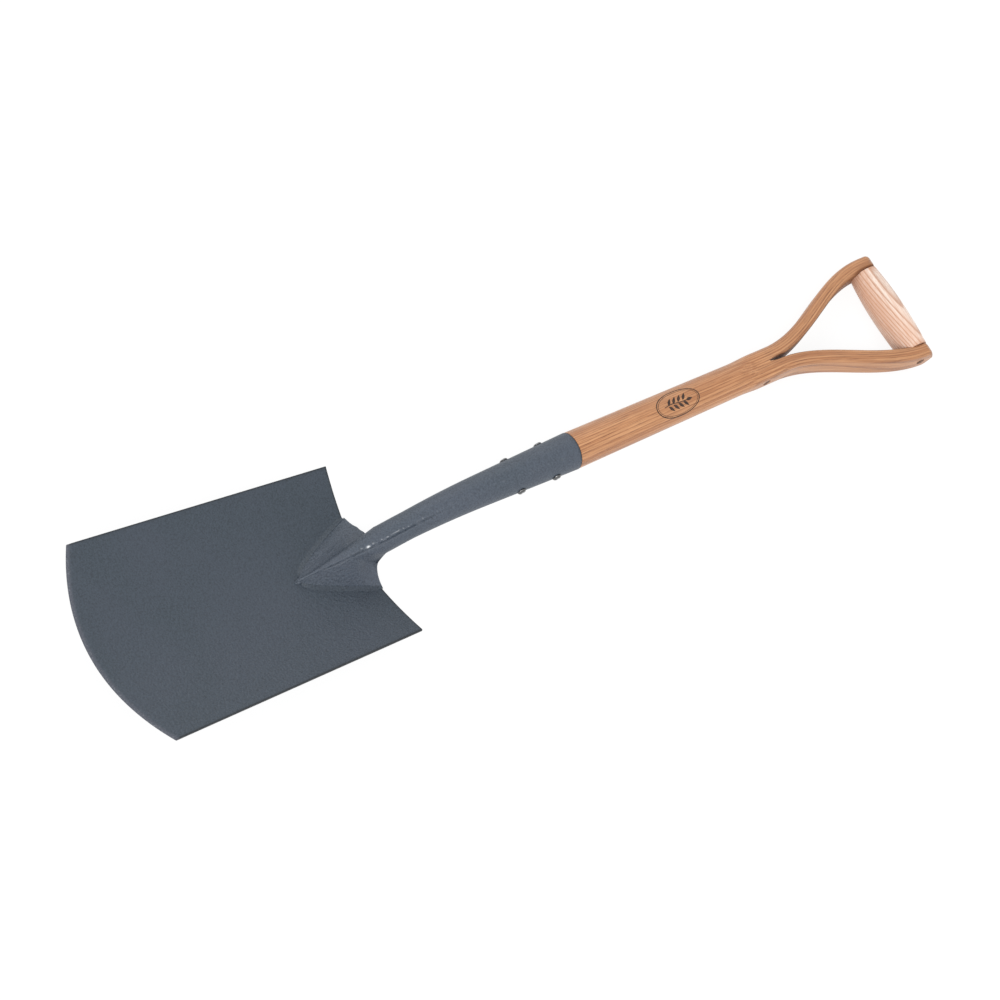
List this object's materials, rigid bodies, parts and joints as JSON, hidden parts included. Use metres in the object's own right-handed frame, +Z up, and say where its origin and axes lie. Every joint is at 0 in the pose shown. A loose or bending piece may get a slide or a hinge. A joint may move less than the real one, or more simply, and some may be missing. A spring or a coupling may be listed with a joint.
{
  "type": "garden spade",
  "caption": "Digging spade: dished steel blade with a bowed ground edge, cranked socket with a flared foot, ash shaft split into a Y, and a turned wooden cross grip.",
  "frame": {"origin": "middle of the spade's footprint, on the surface that it lies on", "axes": "+Y towards the grip, +X across the blade, +Z up, out of the blade's dished front face"},
  "size_m": [0.2092, 0.9688, 0.0847],
  "materials": {
    "painted_steel": "blue-grey satin paint with a fine hammered texture, over steel",
    "rivet_steel": "bright steel, hammered over",
    "pin_steel": "dark, dull steel",
    "ash": "honey-coloured ash with fine lengthwise grain, satin lacquer",
    "pale_ash": "pale turned ash with open, wavy grain, satin lacquer"
  },
  "bodies": {
    "root": {"blade": "painted_steel", "socket": "painted_steel", "weld_bead_left": "painted_steel", "weld_bead_right": "painted_steel", "weld_bead_back": "painted_steel", "socket_rivet_lower": "rivet_steel", "socket_rivet_upper": "rivet_steel", "shaft": "ash", "crotch_rivet": "pin_steel", "crotch_burr_left": "pin_steel", "crotch_burr_right": "pin_steel", "grip": "pale_ash", "grip_pin": "pin_steel", "grip_burr_left": "pin_steel", "grip_burr_right": "pin_steel"}
  },
  "joints": []
}
